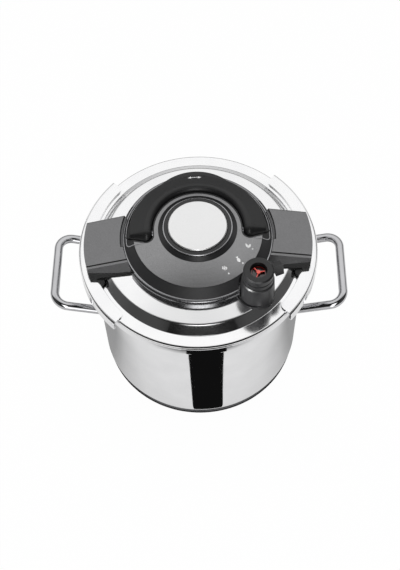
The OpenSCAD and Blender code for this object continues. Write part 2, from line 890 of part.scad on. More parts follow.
// The bright band round the housing
module skirt_ring() {
    color("dimgray") difference() {
        revolve(sheet(concat([[skirt_r, dome_z - 0.1]],
            arc([lip_r, skirt_top - skirt_round], skirt_round, 0, 90, 8)), skirt_t));
        valve_recess();
        arm_notches();
    }
}

// The painted cover, cut round the bail's recess and the valve
module top_cover() {
    inner = collar_r - 0.7;
    color("gray") difference() {
        revolve(concat([[inner, cover_z(inner) - cover_t], [cover_r, cover_z(cover_r) - cover_t]],
            [for (i = [6 : -1 : 0]) let (r = inner + (cover_r - inner) * i / 6) [r, cover_z(r)]]));
        bail_recess(bead_w + 0.1);
        valve_recess();
    }
}

// A stepped collar with a seat for the badge and a groove for the trim ring
module collar_ring() {
    h = cover_z(collar_r);
    color("black") revolve([
        [0, h + 0.6], [badge_r + 2.7, h + 0.6], [badge_r + 2.7, h - cover_t],
        [collar_r - 0.7, h - cover_t], [collar_r - 0.7, cover_z(collar_r - 0.7)], [collar_r, h],
        [collar_r - 0.2, h + 0.8], [collar_r - 4.2, h + 3.4], [trim_out, h + 2.9],
        [trim_in, h + 2.9], [trim_in, h + 3.8], [badge_r + 1.1, h + 4.3],
        [badge_r, h + 3.8], [badge_r, h + 2.3], [0, h + 2.3]]);
}

module trim_ring() {
    h = cover_z(collar_r);
    color("white") revolve([[trim_in, h + 2.9], [trim_out, h + 2.9], [trim_out - 0.1, h + 3.9],
                            [trim_in + 0.65, h + 4.3], [trim_in + 0.1, h + 4.1]]);
}

module badge_disc() {
    h = cover_z(collar_r) + 2.3;
    color("whitesmoke") revolve([[0, h], [badge_r, h], [badge_r, h + 2.9],
                                 [badge_r - 0.8, h + 3.6], [badge_r - 8, h + 3.9],
                                 [badge_r - 20, h + 4.1], [0, h + 4.1]]);
}

// ---------- bail ----------

// The bail's top above the hinge's axis, with a broad round on its inner edge
function bail_path() = end_path(bail_in, bail_out, barrel_r, 5.7, 2);

function bail_section() =
    concat([[bail_in, dome_z + bail_floor], [bail_out, dome_z + bail_floor]],
           [for (p = bail_path()) p + [0, axis_z]]);

// The hollow under the bail, closed off by ribs
module bail_hollow() {
    foot = dome_z + bail_floor;
    half = 90 - 14;
    difference() {
        rotate([0, 0, 90]) sector([[bail_in + 3, foot - 1], [bail_out - 3, foot - 1],
                                   [bail_out - 3, foot + 4.4], [bail_in + 5, foot + 7]], half);
        for (a = [90 - half + 16 : 20 : 90 + half]) rotate([0, 0, a])
            bar(bail_in, bail_out, 1.8, foot - 2, foot + 9);
    }
}

module bail_handle() {
    foot = axis_z - 2;
    color("black") difference() {
        union() {
            revolve(bail_section(), 180);
            for (s = [-1, 1]) scale([s, 1, 1])
                turned(bail_in + 0.1, bail_out - 0.1, end_path(bail_in + 0.1, bail_out - 0.1,
                       barrel_r - 0.1, 5.7, 2));
            difference() {
                translate([0, bail_out + tab_out - tab_r, 0])
                    revolve(concat([[0, foot], [tab_r - 1, foot], [tab_r, foot + 1]],
                        arc([tab_r - 2, foot + 3.4], 2, 0, 80, 5),
                        [[0, foot + 5.4 + 0.17 * tab_r]]));
                cylinder(r = bail_out - 2, h = 300);
            }
        }
        bail_hollow();
        translate([0, 0, axis_z]) for (s = [-1, 1]) scale([s, 1, 1])
            bar(bail_in - 1, shank_out, shank_w, -shank_w / 2, shank_w / 2);
    }
}

// ---------- valves ----------

// A cone that is scribed to the dome, with a low heel on the side of the
// housing and a web that the stem clamps
module valve_base() {
    web = 3.2;
    heel = 2.6;
    color("black") difference() {
        union() {
            difference() {
                translate([valve_x - heel, valve_y - 0.6, dome_z - 9])
                    cylinder(r = valve_r, h = 10.2);
                at_valve() cylinder(r = valve_r - 1, h = 300);
                cylinder(r = skirt_r + mould_gap, h = 300);
            }
            at_valve() {
                revolve([[valve_r - 2.2, dome_z - 9], [valve_r, dome_z - 9],
                         [valve_r, dome_z - 3], [valve_r - 1.6, valve_top - 1.4],
                         [valve_r - 2.6, valve_top], [valve_r - 4.4, valve_top],
                         [valve_r - 3.4, dome_z - 3]]);
                translate([0, 0, dome_z + web - 2]) tube(valve_r - 2.2, stem_r, 2);
            }
        }
        below_lid(0.1);
    }
}

// A threaded tube with a collar, which carries the knob and holds the base
module valve_stem() {
    web_top = dome_z + 3.2;
    foot = dome_z - 12;
    color("silver") at_valve() difference() {
        union() {
            translate([0, 0, foot]) cylinder(r = stem_r, h = well_z - 0.3 - foot);
            translate([0, 0, web_top]) cylinder(r = 7, h = 1.6);
        }
        translate([0, 0, foot - 1]) cylinder(r = stem_bore, h = 60);
    }
}

module under_nut(h) {
    difference() {
        translate([0, 0, -h]) hex(15, h);
        translate([0, 0, -h - 1]) cylinder(r = stem_r, h = h + 2);
    }
}

module valve_nut() {
    color("silver") at_valve() translate([0, 0, dome_z - lid_wall - 2.3]) under_nut(6);
}

// The knob turns on the stem, with a well that shows the indicator, a
// stepped side and a lever that hangs down beside the base
module valve_knob() {
    lever_w = 4.4;
    color("black") at_valve() difference() {
        union() {
            revolve([[0, knob_z], [knob_r - 0.9, knob_z], [knob_r, knob_z + 0.9],
                     [knob_r, knob_z + 6], [knob_r - 0.8, knob_z + 6.3],
                     [knob_r - 0.8, knob_z + 7.2], [knob_r - 0.2, knob_z + 7.5],
                     [knob_r - 0.2, knob_top - 1.3], [knob_r - 1.5, knob_top], [0, knob_top]]);
            rotate([0, 0, lever_dir]) translate([0, lever_w / 2, 0]) rotate([90, 0, 0])
                linear_extrude(lever_w) polygon([
                    [valve_r + 1.2, valve_top - 6.5], [lever_reach, valve_top - 6.5],
                    [lever_reach - 2.6, knob_top - 2.2], [lever_reach - 4, knob_top - 1],
                    [knob_r - 3, knob_top - 1], [knob_r - 3, knob_z + 1],
                    [valve_r + 0.6, knob_z + 1]]);
        }
        translate([0, 0, well_z]) cylinder(r = well_r, h = 20);
        translate([0, 0, knob_z - 1]) cylinder(r = stem_r + run_gap, h = 30);
        translate([0, 0, knob_z - 1]) tube(knob_r - 2.5, stem_r + 2, 4.5);
    }
}

// A red cup on a pin that rises in the stem under pressure
module pressure_indicator() {
    seat = well_z;
    color("red") at_valve() {
        translate([0, 0, seat - 12]) cylinder(r = stem_bore - run_gap, h = 12.5, $fn = 48);
        translate([0, 0, seat]) {
            revolve([[0, 0], [indicator_r - 0.6, 0], [indicator_r, 0.6], [indicator_r, 2.2],
                     [indicator_r - 0.9, 2.2], [indicator_r - 1.4, 1], [0, 1]]);
            cylinder(r = 2, h = 4);
            for (a = [8, 128, 248]) rotate([0, 0, a]) bar(0, indicator_r - 1.2, 1.1, 0.5, 3.6);
        }
    }
}

// The safety valve, under the housing: a body screwed to the lid, whose
// sprung plunger closes its bore
module safety_valve() {
    color("goldenrod") translate([safety_x, safety_y, dome_z]) difference() {
        union() {
            hex(14, 3);
            cylinder(r = 5.5, h = seat_h + chamber_h + 1);
            translate([0, 0, -lid_wall - 7]) cylinder(r = stem_r, h = lid_wall + 7);
        }
        translate([0, 0, -20]) cylinder(r = 1.2, h = 30);
        translate([0, 0, seat_h]) cylinder(r = 4, h = chamber_h);
        translate([0, 0, seat_h]) cylinder(r = plunger_r + run_gap, h = 20, $fn = 48);
    }
}

module safety_nut() {
    color("silver") translate([safety_x, safety_y, dome_z - lid_wall]) under_nut(4.5);
}

module safety_plunger() {
    color("silver") translate([safety_x, safety_y, dome_z + seat_h]) {
        cylinder(r = 3, h = plunger_t);
        cylinder(r = plunger_r, h = chamber_h + 1.2, $fn = 48);
    }
}

// A helical spring between the plunger's disc and the top of the chamber
module safety_spring() {
    turns = 3;
    wire = concat(arc([0, 0], 2.3, 0, 200, 6), arc([0, 0], 1.6, 200, 0, 6));
    color("silver") translate([safety_x, safety_y, dome_z + seat_h + plunger_t])
        linear_extrude(chamber_h - plunger_t, twist = -360 * turns, slices = 36, $fn = 12)
            polygon(wire);
}

pot_shell();
base_core();
base_cap();
handle_left();
handle_right();
handle_pads();
lid_shell();
seal_ring();
guide_frame();
centre_bolt();
centre_nut();
centre_seal();
housing_shell();
skirt_ring();
top_cover();
collar_ring();
trim_ring();
badge_disc();
housing_screws();
valve_base();
valve_stem();
valve_nut();
safety_valve();
safety_nut();
safety_plunger();
safety_spring();
bail_handle();
cam_shaft_left();
cam_shaft_right();
jaw_left();
slide_plate_left();
arm_base_left();
arm_cover_left();
jaw_rivets_left();
jaw_right();
slide_plate_right();
arm_base_right();
arm_cover_right();
jaw_rivets_right();
valve_knob();
pressure_indicator();
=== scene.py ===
# %% [markdown]
# # A stovetop pressure cooker with a clamped lid
#
# The cooker is a tall polished pot with a stepped steel lid. On the lid sits a round black and
# grey housing with a half-round bail, a bare silver disc, and a pressure valve at the front
# right. Two steel jaws under grey arms hold the lid to the pot's rim.
#
# The rigid model comes from the CAD frame and stays as it is. This file gives each piece its
# finish, adds the small pieces that the frame leaves out, and sets the camera, the floor, the
# room and the lamps. Lengths are in metres, as Blender has them, and MM turns millimetres into
# them.

# %% Setup
import math

import bpy
import numpy as np
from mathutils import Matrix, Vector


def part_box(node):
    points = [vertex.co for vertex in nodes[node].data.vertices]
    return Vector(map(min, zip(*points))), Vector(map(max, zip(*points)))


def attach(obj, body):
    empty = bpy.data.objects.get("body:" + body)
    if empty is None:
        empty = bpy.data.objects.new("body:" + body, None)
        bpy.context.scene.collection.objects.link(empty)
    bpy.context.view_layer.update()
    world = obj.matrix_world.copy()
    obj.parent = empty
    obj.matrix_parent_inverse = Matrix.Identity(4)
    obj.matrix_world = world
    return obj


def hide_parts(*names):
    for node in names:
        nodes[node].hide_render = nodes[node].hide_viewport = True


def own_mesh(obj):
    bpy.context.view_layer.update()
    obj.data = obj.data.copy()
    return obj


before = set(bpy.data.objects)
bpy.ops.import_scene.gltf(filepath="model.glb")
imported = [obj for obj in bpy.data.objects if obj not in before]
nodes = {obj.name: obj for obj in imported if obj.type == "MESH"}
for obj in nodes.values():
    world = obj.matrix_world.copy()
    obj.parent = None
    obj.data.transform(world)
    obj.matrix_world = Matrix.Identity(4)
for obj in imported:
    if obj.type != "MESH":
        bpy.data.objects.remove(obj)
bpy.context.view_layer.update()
MM = 0.001
print("nodes:", len(nodes))

# %% [markdown]
# ## Camera
#
# Cookware is usually shown from well above, so that the lid's controls can be read. The camera
# stands 1.2 m away, 59 degrees above the table, and is rolled a little. A tracking constraint
# could aim it, but a matrix built from three directions states the view exactly.

# %% Camera
CAMERA_PLACE = np.array([-0.0148, -0.5595, 1.0482])
CAMERA_AIM = np.array([0.01424, 0.50978, -0.8602])
CAMERA_ROLL = math.radians(-1.58)


def unit(v):
    """A vector divided by its own length."""
    return np.asarray(v, float) / np.linalg.norm(v)


def placed(right, up, back, place):
    """A matrix whose columns are three directions and a place, as Blender wants it."""
    matrix = np.eye(4)
    matrix[:3] = np.stack([right, up, back, place], axis=1)
    return matrix.T.tolist()


def camera_matrix(place, aim, roll):
    """Right is the aim crossed with the world's up; right and up are then turned by the roll."""
    right = unit(np.cross(aim, (0, 0, 1)))
    up = np.cross(right, unit(aim))
    turned_right = math.cos(roll) * right + math.sin(roll) * up
    turned_up = math.cos(roll) * up - math.sin(roll) * right
    return placed(turned_right, turned_up, -unit(aim), place)


camera_data = bpy.data.cameras.new("camera")
camera_data.lens = 61.81
camera_data.sensor_width = 36.0
camera_data.clip_start = 0.05
camera = bpy.data.objects.new("camera", camera_data)
camera.matrix_world = camera_matrix(CAMERA_PLACE, CAMERA_AIM, CAMERA_ROLL)
bpy.context.scene.collection.objects.link(camera)
bpy.context.scene.camera = camera
print("camera distance to the lid:", round(float(np.linalg.norm(CAMERA_PLACE - (0, 0, 0.2))), 3))

# %% [markdown]
# ## Colours and nodes
#
# Colours are written as the hex values that a screen shows, and shaders work in linear light, so
# one function turns the first into the second. One more function adds a shader node: an input
# that is a socket becomes a link, any other input is set as a value, and the rest are the node's
# own settings. Every material below is built with it. The nodes could be placed by hand in the
# shader editor, but as code they can be read, repeated and compared.


# %% Colours and nodes
def srgb(code):
    """Each channel c in 0..1 becomes c/12.92 below 0.04045, else ((c+0.055)/1.055)^2.4."""
    c = np.array([int(code[i : i + 2], 16) for i in (1, 3, 5)]) / 255
    linear = np.where(c <= 0.04045, c / 12.92, ((c + 0.055) / 1.055) ** 2.4)
    return (*linear.tolist(), 1.0)


def light(level):
    """The same linear amount of light in every channel."""
    return (level, level, level, 1.0)


def add(tree, kind, inputs=None, stops=(), **settings):
    """Adds a node with its settings and links; a colour ramp takes (position, colour) stops."""
    made = tree.nodes.new("ShaderNode" + kind)
    for name, value in settings.items():
        setattr(made, name, value)
    for key, value in (inputs or {}).items():
        if isinstance(value, bpy.types.NodeSocket):
            tree.links.new(value, made.inputs[key])
        else:
            made.inputs[key].default_value = value
    for i, (position, colour) in enumerate(stops):
        if i >= len(made.color_ramp.elements):
            made.color_ramp.elements.new(1.0)
        made.color_ramp.elements[i].position = position
        made.color_ramp.elements[i].color = colour
    return made


def new_material(name):
    """An empty node material and its tree."""
    material = bpy.data.materials.new(name)
    material.use_nodes = True
    material.node_tree.nodes.clear()
    return material, material.node_tree


print("screen grey #808080 is", round(srgb("#808080")[0], 3), "in linear light")

# %% [markdown]
# ## Polished steel
#
# The pot, the lid, the jaws and the side handles are pressed or bent from 18/10 stainless steel,
# then polished. A mirror finish shows the room, so its own detail is faint: the polish is a little
# less even over some centimetres, and fine buffing marks run round the axis. The marks are a few
# hundredths of a millimetre wide, and are drawn 1 mm wide so that they show at all. They could be
# a displacement, but at this depth only the normal can tell.


# %% Polished steel
def polished_steel(name, bright, dull, gloss, depth_mm):
    """Fully metallic, with a gloss that drifts slowly and buffing marks in the normal."""
    material, tree = new_material(name)
    place = add(tree, "TexCoord").outputs["Object"]
    drift = add(tree, "TexNoise", {"Vector": place, "Scale": 1 / (28 * MM), "Detail": 3.0})
    round_axis = add(tree, "Mapping", {"Vector": place, "Scale": (0.12, 0.12, 1.0)})
    marks = add(tree, "TexNoise", {"Vector": round_axis.outputs["Vector"], "Scale": 1 / (1 * MM)})
    evenness = add(
        tree,
        "MapRange",
        {"Value": drift.outputs["Fac"], "From Min": 0.3, "From Max": 0.7},
    ).outputs["Result"]
    tint = add(tree, "Mix", {0: evenness, 6: srgb(dull), 7: srgb(bright)}, data_type="RGBA")
    polish = add(tree, "MapRange", {"Value": evenness, "To Min": gloss[1], "To Max": gloss[0]})
    relief = add(
        tree,
        "Bump",
        {"Height": marks.outputs["Fac"], "Strength": 1.0, "Distance": depth_mm * MM},
    )
    shader = add(
        tree,
        "BsdfPrincipled",
        {
            "Base Color": tint.outputs[2],
            "Metallic": 1.0,
            "Roughness": polish.outputs["Result"],
            "Normal": relief.outputs["Normal"],
        },
    )
    add(tree, "OutputMaterial", {"Surface": shader.outputs[0]})
    return material


# Drawn shell, mirror polished while it turns: it shows the room with crisp edges
pot_steel = polished_steel("polished_pot_steel", "#EAEAEB", "#E4E4E5", (0.05, 0.08), 0.0002)
# Pressed lid and jaws, polished on a soft wheel: brighter, and mirrored edges are blurred
lid_steel = polished_steel("polished_lid_steel", "#F4F4F4", "#EFEFF0", (0.11, 0.15), 0.0002)
# Bent rod, tumbled to a gloss: thin sharp lights on a darker metal
handle_steel = polished_steel("polished_handle_steel", "#C4C4C6", "#BABABC", (0.04, 0.07), 0.0004)
print("mirror finishes:", pot_steel.name, lid_steel.name, handle_steel.name)

# %% [markdown]
# ## Worked metals
#
# The other metals still show how they were made. Turned and blanked steel has fine parallel
# lines, a zinc-plated screw is cloudy, pressed aluminium has a dull grain, and the disc on the
# lid is aluminium blasted with fine glass beads before anodising. The band round the housing is
# steel brushed along its length and darkened. One function serves them all: its grain has a real
# size and may be stretched along an axis, which turns specks into lines. Brushed lines are about
# a tenth of a millimetre apart and are drawn five times as coarse, or they wouldn't show.


# %% Worked metals
def worked_metal(name, bright, dull, gloss, grain_mm, depth_mm, stretch=(1, 1, 1)):
    """Metal whose grain, stretched or round, shows in its colour, its gloss and its normal."""
    material, tree = new_material(name)
    place = add(tree, "TexCoord").outputs["Object"]
    laid = add(tree, "Mapping", {"Vector": place, "Scale": stretch}).outputs["Vector"]
    grain = add(tree, "TexNoise", {"Vector": laid, "Scale": 1 / (grain_mm * MM), "Detail": 3.0})
    spread = add(
        tree,
        "MapRange",
        {"Value": grain.outputs["Fac"], "From Min": 0.3, "From Max": 0.7},
    ).outputs["Result"]
    tint = add(tree, "Mix", {0: spread, 6: srgb(dull), 7: srgb(bright)}, data_type="RGBA")
    polish = add(tree, "MapRange", {"Value": spread, "To Min": gloss[1], "To Max": gloss[0]})
    relief = add(tree, "Bump", {"Height": spread, "Strength": 1.0, "Distance": depth_mm * MM})
    shader = add(
        tree,
        "BsdfPrincipled",
        {
            "Base Color": tint.outputs[2],
            "Metallic": 1.0,
            "Roughness": polish.outputs["Result"],
            "Normal": relief.outputs["Normal"],
        },
    )
    add(tree, "OutputMaterial", {"Surface": shader.outputs[0]})
    return material


ROUND_AXIS = (0.1, 0.1, 1.0)
# Stainless cap, its colour darkened as painted shade under the pot: a dim mirror with fine turned
# lines
shade_darkened_steel = worked_metal(
    "polished_base_steel", "#56565A", "#4A4A4D", (0.10, 0.18), 0.8, 0.0005, ROUND_AXIS
)
# Pads left as they were welded: pale and cloudy
weld_steel = worked_metal("spot_weld_steel", "#B5B5B8", "#8E8E92", (0.3, 0.42), 1.6, 0.02)
# Blanked from cold-rolled sheet: dull, with the rolling lines along one axis
sheet_steel = worked_metal(
    "blanked_sheet_steel", "#ABABAE", "#8F8F93", (0.28, 0.4), 0.6, 0.008, (0.15, 1, 1)
)
# Screws, nuts and rivets with zinc plating: a cloudy grey with a slight blue cast
plated_steel = worked_metal("zinc_plated_steel", "#B7B9BA", "#94979A", (0.25, 0.4), 0.9, 0.006)
# Turned shafts and the spring's wire: fine rings that break up the gloss
turned_steel = worked_metal(
    "turned_steel", "#B4B4B7", "#98989C", (0.2, 0.3), 0.35, 0.006, ROUND_AXIS
)
# Core of the base, pressed hot: even and dull
base_aluminium = worked_metal("pressed_aluminium", "#C4C5C8", "#ADAEB2", (0.35, 0.5), 0.9, 0.01)
# Body of the safety valve, turned: warm yellow
turned_brass = worked_metal(
    "turned_brass", "#C9A25A", "#B08A45", (0.2, 0.32), 0.4, 0.006, ROUND_AXIS
)
# Trim ring, plated over a satin surface: one soft bright line
trim_chrome = worked_metal("satin_trim_chrome", "#BEBEC0", "#B2B2B4", (0.24, 0.3), 0.6, 0.001)
# Disc, blasted with glass beads and anodised: nearly white and even, with no mirror image
disc_aluminium = worked_metal("bead_blasted_disc", "#F6F6F6", "#EDEDED", (0.36, 0.46), 0.3, 0.005)
# Band at the housing's foot, brushed and darkened: lights spread along it in streaks
band_steel = worked_metal(
    "dark_brushed_band", "#A2A2A4", "#8C8C8E", (0.2, 0.28), 0.5, 0.0005, (1, 1, 0.08)
)
print("worked metals ready, their grain is 0.3 to 1.6 mm wide")

# %% [markdown]
# ## Metallic lacquer
#
# The grey covers are moulded, then sprayed with a lacquer that holds fine aluminium flakes. The
# flakes lie flat in the lacquer, so the cover is lighter where it mirrors a bright part of the
# room and has a fine sparkle. A real flake is a twentieth of a millimetre, too fine to show, so
# the grain is drawn at 0.5 mm. A picture of flakes could be laid on the piece, but a noise in
# three directions needs no flattened surface and has no seam.


# %% Metallic lacquer
def flake_lacquer(name, dark, pale, gloss):
    """Mostly metallic, with a fine light and dark grain and a thin clear coat."""
    material, tree = new_material(name)
    place = add(tree, "TexCoord").outputs["Object"]
    flakes = add(tree, "TexNoise", {"Vector": place, "Scale": 1 / (0.5 * MM), "Detail": 2.0})
    cloud = add(tree, "TexNoise", {"Vector": place, "Scale": 1 / (9 * MM), "Detail": 2.0})
    sparkle = add(
        tree,
        "MapRange",
        {"Value": flakes.outputs["Fac"], "From Min": 0.3, "From Max": 0.7},
    ).outputs["Result"]
    tint = add(tree, "Mix", {0: sparkle, 6: srgb(dark), 7: srgb(pale)}, data_type="RGBA")
    polish = add(
        tree,
        "MapRange",
        {
            "Value": cloud.outputs["Fac"],
            "From Min": 0.3,
            "From Max": 0.7,
            "To Min": gloss[0],
            "To Max": gloss[1],
        },
    )
    relief = add(tree, "Bump", {"Height": sparkle, "Strength": 1.0, "Distance": 0.002 * MM})
    shader = add(
        tree,
        "BsdfPrincipled",
        {
            "Base Color": tint.outputs[2],
            "Metallic": 0.85,
            "Roughness": polish.outputs["Result"],
            "IOR": 1.5,
            "Coat Weight": 0.15,
            "Coat Roughness": 0.25,
            "Normal": relief.outputs["Normal"],
        },
    )
    add(tree, "OutputMaterial", {"Surface": shader.outputs[0]})
    return material


# Top cover: mid grey with a satin sheen
cover_lacquer = flake_lacquer("grey_flake_lacquer_cover", "#7C7C7D", "#9C9C9D", (0.28, 0.34))
# Arm covers: the same lacquer sprayed thicker, a little darker and duller
arm_lacquer = flake_lacquer("grey_flake_lacquer_arms", "#6E6E6F", "#868687", (0.30, 0.36))
print("lacquers:", cover_lacquer.name, arm_lacquer.name)

# %% [markdown]
# ## Plastics and rubber
#
# The housing, the bail and the shoes under the arms are black phenolic and glass-filled nylon.
# The mould is spark-eroded, which leaves a fine matt grain of about a quarter of a millimetre;
# it is drawn at 0.45 mm. The valve's base and the grey edge beside the arms come from a smoother
# mould, and the seal is silicone. The white marks are pad-printed ink. Each could be a material
# of its own, but they are one kind of surface with different colours, gloss and grain.


# %% Plastics and rubber
def moulded(name, pale, dark, gloss, grain_mm, depth_mm, ior=1.52):
    """A dielectric whose colour drifts over centimetres and whose grain breaks up its gloss."""
    material, tree = new_material(name)
    place = add(tree, "TexCoord").outputs["Object"]
    grain = add(
        tree, "TexNoise", {"Vector": place, "Scale": 1 / (grain_mm * MM), "Detail": 2.0}
    ).outputs["Fac"]
    cloud = add(tree, "TexNoise", {"Vector": place, "Scale": 1 / (14 * MM), "Detail": 2.0})
    tint = add(
        tree,
        "Mix",
        {0: cloud.outputs["Fac"], 6: srgb(dark), 7: srgb(pale)},
        data_type="RGBA",
    )
    polish = add(
        tree,
        "MapRange",
        {"Value": grain, "From Min": 0.3, "From Max": 0.7, "To Min": gloss[0], "To Max": gloss[1]},
    )
    relief = add(tree, "Bump", {"Height": grain, "Strength": 1.0, "Distance": depth_mm * MM})
    shader = add(
        tree,
        "BsdfPrincipled",
        {
            "Base Color": tint.outputs[2],
            "Roughness": polish.outputs["Result"],
            "IOR": ior,
            "Normal": relief.outputs["Normal"],
        },
    )
    add(tree, "OutputMaterial", {"Surface": shader.outputs[0]})
    return material


# Phenolic, IOR 1.5 to 1.6: deep black with a broad soft sheen
housing_plastic = moulded("matt_black_phenolic", "#262627", "#202021", (0.40, 0.48), 0.45, 0.008)
# Glass-filled nylon, IOR 1.53, rubbed by hands: a clearer sheen on its round back
bail_plastic = moulded("satin_black_nylon", "#141415", "#101011", (0.36, 0.44), 0.45, 0.006)
# The same nylon as it leaves the mould: the dullest black
shoe_plastic = moulded("matt_black_nylon", "#131313", "#0E0E0F", (0.5, 0.6), 0.45, 0.010)
# Collar round the disc: a smoother face that shows a thin light along its edge
collar_plastic = moulded("satin_black_collar", "#1E1E1F", "#19191A", (0.3, 0.36), 0.45, 0.005)
# Cone of the valve: nearly free of grain, so that it carries one upright streak
valve_plastic = moulded("satin_black_base", "#171718", "#131314", (0.36, 0.42), 0.6, 0.002)
# Edge beside the arms: dark grey, between the black housing and the lacquer
edge_plastic = moulded("satin_grey_edge", "#4E4E4F", "#464647", (0.34, 0.42), 0.5, 0.002)
# Knob: grained like the housing, worn a little smoother
knob_plastic = moulded("satin_black_knob", "#19191A", "#141415", (0.34, 0.42), 0.45, 0.008)
# Silicone, IOR 1.41: soft and dull, with no clear highlight
seal_rubber = moulded("black_silicone", "#1E1E1E", "#191919", (0.55, 0.65), 0.7, 0.01, 1.41)
# White ink, matt and opaque
print_ink = moulded("white_pad_print", "#EEEEEE", "#E2E2E2", (0.4, 0.5), 0.4, 0.001)
# Painted highlight on the bead's crest: a pale satin line
bead_highlight_paint = moulded("painted_bead_highlight", "#A8A8AA", "#98989A", (0.25, 0.32), 0.6, 0.001)
print("plastics ready, spark-eroded grain drawn at 0.45 mm")

# %% [markdown]
# ## Red indicator
#
# The indicator is one red polycarbonate moulding: a disc with three raised ribs. Down in the knob's
# black well the disc lies in shade and looks nearly black, while the ribs catch light through their
# thickness. Volume light in so small a piece would take long to clear of noise, so this shade and
# light are painted into the colour instead: it darkens with depth below the ribs' tops.
# Polycarbonate has an IOR of 1.58 and a wet gloss; the specks that soften it are 0.9 mm wide, drawn
# coarser than real ones.


# %% Red indicator
# Painted shade and painted light through the ribs: colour from deep in the well up to the ribs'
# tops
RED_PAINTED_SHADE_BY_DEPTH = [
    (0.0, srgb("#1C0403")),
    (0.35, srgb("#6A100B")),
    (0.8, srgb("#D2301F")),
    (1.0, srgb("#E24A38")),
]


def cad_edge(name, end, axis):
    """One side of a CAD piece's box, end 0 or 1 along an axis, in millimetres."""
    return round(float(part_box(name)[end][axis]) / MM, 2)


def red_with_painted_shade(name, top_mm, depth_mm):
    """Glossy red with painted shade: it turns dark over a depth below the ribs' tops."""
    material, tree = new_material(name)
    place = add(tree, "TexCoord").outputs["Object"]
    height = add(tree, "SeparateXYZ", {"Vector": place}).outputs["Z"]
    near_top = add(
        tree,
        "MapRange",
        {"Value": height, "From Min": (top_mm - depth_mm) * MM, "From Max": top_mm * MM},
    ).outputs["Result"]
    specks = add(tree, "TexNoise", {"Vector": place, "Scale": 1 / (0.9 * MM), "Detail": 2.0})
    colour = add(tree, "ValToRGB", {"Fac": near_top}, RED_PAINTED_SHADE_BY_DEPTH)
    gloss = add(tree, "MapRange", {"Value": specks.outputs["Fac"], "To Min": 0.03, "To Max": 0.12})
    relief = add(
        tree,
        "Bump",
        {"Height": specks.outputs["Fac"], "Strength": 1.0, "Distance": 0.05 * MM},
    )
    shader = add(
        tree,
        "BsdfPrincipled",
        {
            "Base Color": colour.outputs["Color"],
            "Roughness": gloss.outputs["Result"],
            "IOR": 1.58,
            "Coat Weight": 0.6,
            "Coat Roughness": 0.04,
            "Normal": relief.outputs["Normal"],
        },
    )
    add(tree, "OutputMaterial", {"Surface": shader.outputs[0]})
    return material


ribs_top = cad_edge("pressure_indicator", 1, 2)
indicator_red = red_with_painted_shade("red_polycarbonate", ribs_top, 2.2)
print("ribs' tops at", ribs_top, "mm")

# %% [markdown]
# ## Finishes on the CAD pieces
#
# Each CAD piece keeps its shape and gets the finish of the real one. A table by name is easier
# to read and to change than a loop of conditions.

# %% Finishes on the CAD pieces
FINISH = {
    "pot_shell": pot_steel,
    "base_core": base_aluminium,
    "base_cap": shade_darkened_steel,
    "handle_left": handle_steel,
    "handle_right": handle_steel,
    "handle_pads": weld_steel,
    "lid_shell": lid_steel,
    "seal_ring": seal_rubber,
    "guide_frame": sheet_steel,
    "centre_bolt": plated_steel,
    "centre_nut": plated_steel,
    "centre_seal": seal_rubber,
    "housing_shell": housing_plastic,
    "skirt_ring": band_steel,
    "top_cover": cover_lacquer,
    "collar_ring": collar_plastic,
    "trim_ring": trim_chrome,
    "badge_disc": disc_aluminium,
    "housing_screws": plated_steel,
    "valve_base": valve_plastic,
    "valve_stem": turned_steel,
    "valve_nut": plated_steel,
    "safety_valve": turned_brass,
    "safety_nut": plated_steel,
    "safety_plunger": turned_steel,
    "safety_spring": turned_steel,
    "bail_handle": bail_plastic,
    "valve_knob": knob_plastic,
    "pressure_indicator": indicator_red,
}
for side in ("left", "right"):
    FINISH |= {
        f"jaw_{side}": lid_steel,
        f"slide_plate_{side}": sheet_steel,
        f"cam_shaft_{side}": turned_steel,
        f"jaw_rivets_{side}": plated_steel,
        f"arm_base_{side}": shoe_plastic,
        f"arm_cover_{side}": arm_lacquer,
    }
for name, piece in nodes.items():
    for material_slot in piece.material_slots:
        material_slot.material = FINISH[name]
    if not piece.material_slots:
        piece.data.materials.append(FINISH[name])
print("without a finish:", sorted(set(nodes) - set(FINISH)))

# %% [markdown]
# ## Meshes from grids
#
# The small pieces below, the floor and the cards are all grids of points. Primitives and their
# tools could be joined up instead, but a grid follows a formula exactly. One function gives the
# faces between neighbouring points, and one gives a strip or a tube its two end faces, so that
# it is closed. A third puts points and faces into an object whose origin is the model's own.


# %% Meshes from grids
def grid_faces(rows, columns, wrap=False):
    """Four-cornered faces of a grid, point (i, j) having the number i*columns + j."""
    i, j = np.meshgrid(np.arange(rows - 1), np.arange(columns - (not wrap)), indexing="ij")
    k = (j + 1) % columns
    corners = [i * columns + j, i * columns + k, (i + 1) * columns + k, (i + 1) * columns + j]
    return np.stack(corners, -1).reshape(-1, 4).tolist()


def closed_faces(rows, columns):
    """The faces of a tube of rows with an end face on its first and its last row, all outward."""
    last = (rows - 1) * columns
    ends = [list(range(columns)), [last + k for k in reversed(range(columns))]]
    return [face[::-1] for face in grid_faces(rows, columns, wrap=True)] + ends


def mesh_piece(name, points, faces, material):
    """An object at the origin with the points in its mesh."""
    mesh = bpy.data.meshes.new(name)
    mesh.from_pydata(np.reshape(points, (-1, 3)).tolist(), [], faces)
    mesh.materials.append(material)
    made = bpy.data.objects.new(name, mesh)
    bpy.context.scene.collection.objects.link(made)
    return made


print("a closed tube of 3 rows of 4 points has", len(closed_faces(3, 4)), "faces")

# %% [markdown]
# ## Printed marks
#
# Three small signs stand beside the valve, each with a dot that the knob's pointer meets: a leaf
# for vegetables, a fish, and steam. The bail has a double arrow for opening and closing. Real
# ones are ink a few hundredths of a millimetre thick. A decal texture would need a flat map of
# the cover, so each mark is a very thin closed strip that follows the surface: a path with a
# width that changes along it gives a leaf, a fish, a dot or an arrow.

# %% Heights of the surfaces that carry marks
DOME_Z = cad_edge("lid_shell", 1, 2)
COVER_INNER = cad_edge("collar_ring", 1, 0)
COVER_OUTER = -cad_edge("top_cover", 0, 1)
